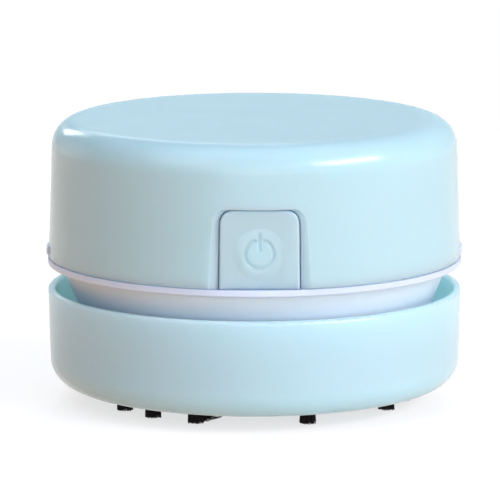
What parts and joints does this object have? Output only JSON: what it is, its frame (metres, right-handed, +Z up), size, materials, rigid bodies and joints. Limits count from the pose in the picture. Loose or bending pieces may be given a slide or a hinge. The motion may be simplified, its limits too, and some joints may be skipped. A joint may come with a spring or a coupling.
{
  "type": "desktop mini vacuum cleaner",
  "caption": "Round two-tier battery desk vacuum: lift-off cap with push button and release tabs, white fan funnel, wide dust dish on bristle tufts.",
  "frame": {"origin": "on the surface it stands on, under the bristle tips, in the middle of the round plan", "axes": "+Z up along the fan's axis, front with the power button towards -Y, release tabs at -X and +X"},
  "size_m": [0.0842, 0.0838, 0.0571],
  "materials": {
    "shell_blue": "glossy moulded ABS, pale baby blue",
    "funnel_white": "satin white moulded ABS",
    "bristle_black": "nylon bristles",
    "seal_rubber": "matte silicone rubber",
    "inner_plastic": "unpainted moulded ABS with a fine spark texture",
    "filter_felt": "needled non-woven polyester",
    "motor_steel": "zinc-plated drawn steel",
    "motor_nylon": "natural nylon",
    "ferrite": "dark sintered ferrite",
    "bronze": "oil-filled sintered bronze",
    "copper": "bare copper strip",
    "enamelled_copper": "enamelled copper wire",
    "laminated_steel": "stacked steel laminations",
    "fan_grey": "moulded nylon",
    "screw_steel": "zinc-plated steel",
    "cell_sleeve": "printed shrink sleeve over a steel can, without lettering",
    "contact_nickel": "nickel-plated sprung steel",
    "board_green": "solder-masked circuit board",
    "switch_black": "black nylon",
    "spring_steel": "drawn spring wire",
    "lead_red": "PVC insulation",
    "lead_black": "PVC insulation"
  },
  "bodies": {
    "dish": {"dust_dish": "shell_blue", "bristle_tufts": "bristle_black"},
    "chassis": {"mid_funnel": "funnel_white", "seal_ring": "seal_rubber", "fan_cover": "inner_plastic", "fan_cover_screws": "screw_steel", "filter_frame": "inner_plastic", "filter_disc": "filter_felt", "motor_can": "motor_steel", "motor_end_cap": "motor_nylon", "brush_terminals": "copper", "field_magnets": "ferrite", "bearing_bushes": "bronze", "motor_clamp": "inner_plastic", "motor_clamp_screws": "screw_steel", "battery_tray": "inner_plastic", "tray_screws": "screw_steel", "battery_cell_left": "cell_sleeve", "battery_cell_right": "cell_sleeve", "contact_negative": "contact_nickel", "contact_positive": "contact_nickel", "contact_bridge": "contact_nickel", "switch_board": "board_green", "switch_board_screws": "screw_steel", "switch_body": "switch_black", "button_spring": "spring_steel", "battery_lead": "lead_red", "switch_lead": "lead_red", "motor_lead": "lead_black", "tab_spring_left": "spring_steel", "tab_spring_right": "spring_steel"},
    "shell": {"top_shell": "shell_blue"},
    "button": {"power_button": "shell_blue", "switch_plunger": "motor_nylon"},
    "tab_left": {"release_tab_left": "funnel_white"},
    "tab_right": {"release_tab_right": "funnel_white"},
    "rotor": {"motor_shaft": "screw_steel", "armature_core": "laminated_steel", "armature_windings": "enamelled_copper", "commutator": "copper", "impeller": "fan_grey"}
  },
  "joints": [
    {"name": "upper_unit_lift", "type": "slide", "parent": "dish", "child": "chassis", "axis": [0, 0, 1], "range_m": [0, 0.045]},
    {"name": "shell_lift", "type": "slide", "parent": "chassis", "child": "shell", "axis": [0, 0, 1], "range_m": [0, 0.04]},
    {"name": "button_press", "type": "slide", "parent": "chassis", "child": "button", "axis": [0, 1, 0], "range_m": [0, 0.0015], "stiffness_N_per_m": 300, "springref_m": -0.002, "deforming": ["button_spring"]},
    {"name": "tab_left_press", "type": "slide", "parent": "chassis", "child": "tab_left", "axis": [1, 0, 0], "range_m": [0, 0.001], "stiffness_N_per_m": 500, "springref_m": -0.001, "deforming": ["tab_spring_left"]},
    {"name": "tab_right_press", "type": "slide", "parent": "chassis", "child": "tab_right", "axis": [-1, 0, 0], "range_m": [0, 0.001], "stiffness_N_per_m": 500, "springref_m": -0.001, "deforming": ["tab_spring_right"]},
    {"name": "impeller_spin", "type": "hinge", "parent": "chassis", "child": "rotor", "pos_m": [0, 0, 0.03], "axis": [0, 0, 1], "continuous": true}
  ]
}
